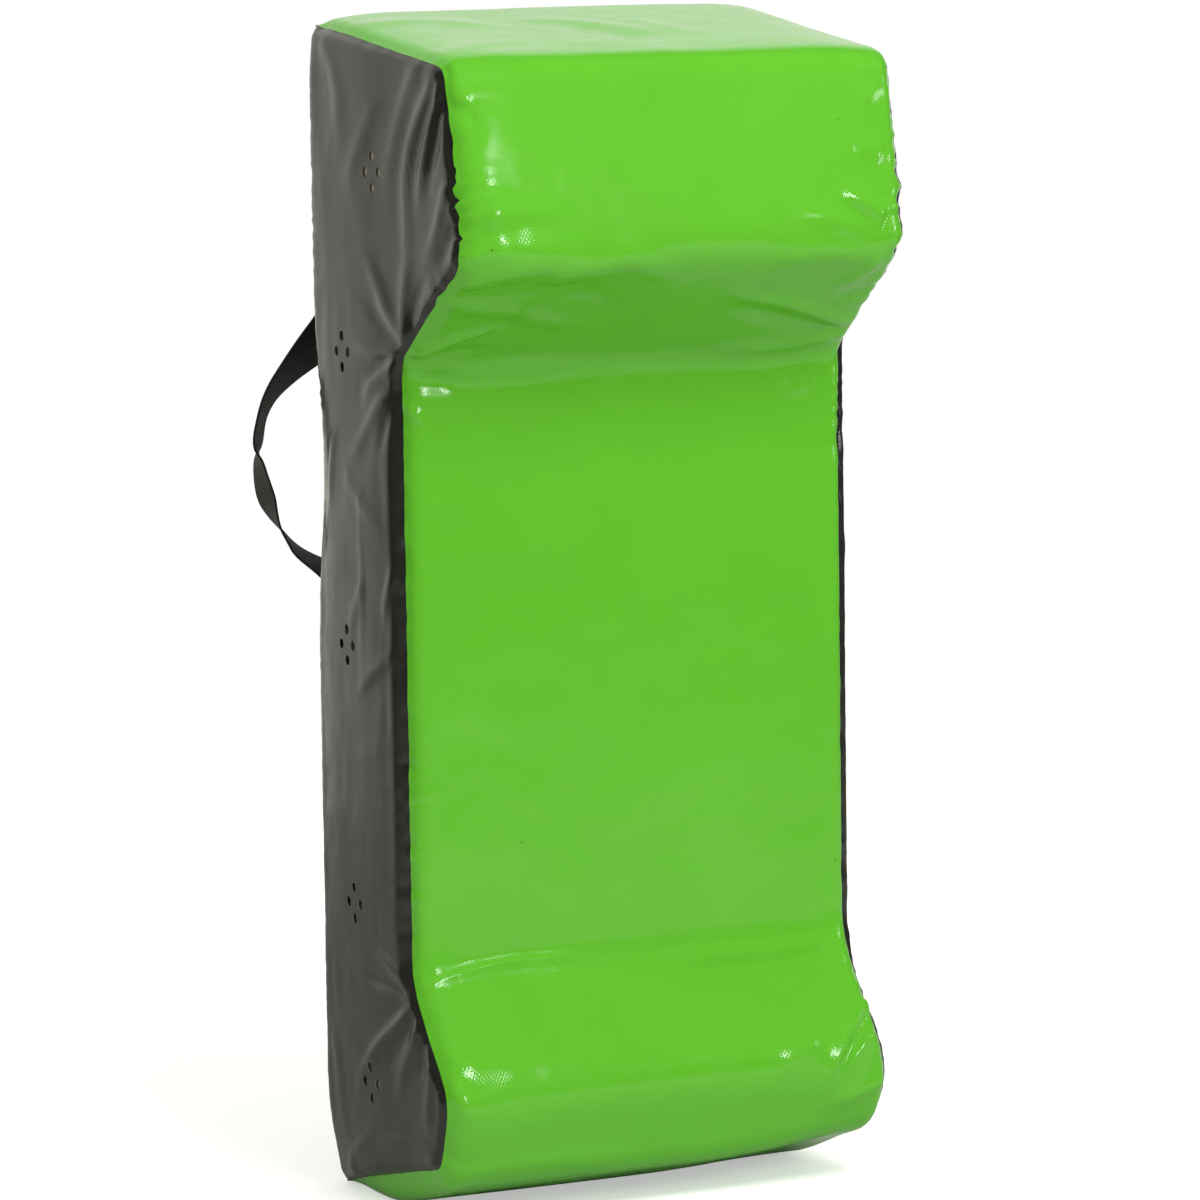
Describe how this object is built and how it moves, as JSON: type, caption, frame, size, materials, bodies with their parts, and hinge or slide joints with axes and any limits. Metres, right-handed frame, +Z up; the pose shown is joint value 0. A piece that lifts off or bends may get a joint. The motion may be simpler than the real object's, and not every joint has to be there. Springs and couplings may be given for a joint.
{
  "type": "tackle wedge",
  "caption": "Free-standing foam training pad with a jutting head and foot, a shoulder recess between them, a sewn zipped cover and webbing handles on its back.",
  "frame": {"origin": "on the floor, at the middle of the flat patch that the pad stands on", "axes": "+Z up along the pad's height, +X across the pad to its right as a viewer of its green face sees it, -Y out of the tackled face and +Y out of the back with the handles"},
  "size_m": [0.469, 0.3899, 0.9996],
  "materials": {
    "green_pvc": "glossy PVC-coated polyester, bright green",
    "charcoal_pvc": "satin PVC-coated polyester, charcoal",
    "black_webbing": "woven polypropylene webbing, black",
    "zip_tape": "woven polyester tape, black",
    "zip_teeth": "moulded acetal resin, black",
    "zip_metal": "die-cast zinc, nickel plated",
    "pale_foam": "expanded polyethylene foam, pale grey"
  },
  "bodies": {
    "pad": {"front_cover": "green_pvc", "side_cover_left": "charcoal_pvc", "side_cover_right": "charcoal_pvc", "back_cover_left": "charcoal_pvc", "back_cover_right": "charcoal_pvc", "foam_back_board": "pale_foam", "foam_core_slab": "pale_foam", "foam_head_block": "pale_foam", "foam_waist_slab": "pale_foam", "foam_foot_block": "pale_foam", "zip_tape_left": "zip_tape", "zip_tape_right": "zip_tape", "zip_teeth_left": "zip_teeth", "zip_teeth_right": "zip_teeth", "zip_lower_stop": "zip_metal", "zip_upper_stop": "zip_metal", "zip_lower_tab": "charcoal_pvc", "zip_upper_tab": "charcoal_pvc", "handle_left_upper_patch": "charcoal_pvc", "handle_left_lower_patch": "charcoal_pvc", "handle_left_upper_end": "black_webbing", "handle_left_lower_end": "black_webbing", "handle_right_upper_patch": "charcoal_pvc", "handle_right_lower_patch": "charcoal_pvc", "handle_right_upper_end": "black_webbing", "handle_right_lower_end": "black_webbing"},
    "left_handle": {"handle_left_loop": "black_webbing"},
    "right_handle": {"handle_right_loop": "black_webbing"},
    "slider": {"zip_slider": "zip_metal"},
    "puller": {"zip_puller": "zip_metal"}
  },
  "joints": [
    {"name": "left_handle_swing", "type": "hinge", "parent": "pad", "child": "left_handle", "pos_m": [-0.15, 0.102, 0.6275], "axis": [0, 0, 1], "range_deg": [-128, 22]},
    {"name": "right_handle_swing", "type": "hinge", "parent": "pad", "child": "right_handle", "pos_m": [0.15, 0.102, 0.6275], "axis": [0, 0, 1], "range_deg": [-22, 128]},
    {"name": "zip_slide", "type": "slide", "parent": "pad", "child": "slider", "axis": [0, 0, 1], "range_m": [0, 0.849]},
    {"name": "puller_swing", "type": "hinge", "parent": "slider", "child": "puller", "pos_m": [0, 0.0806, 0.0723], "axis": [1, 0, 0], "range_deg": [0, 170]}
  ]
}
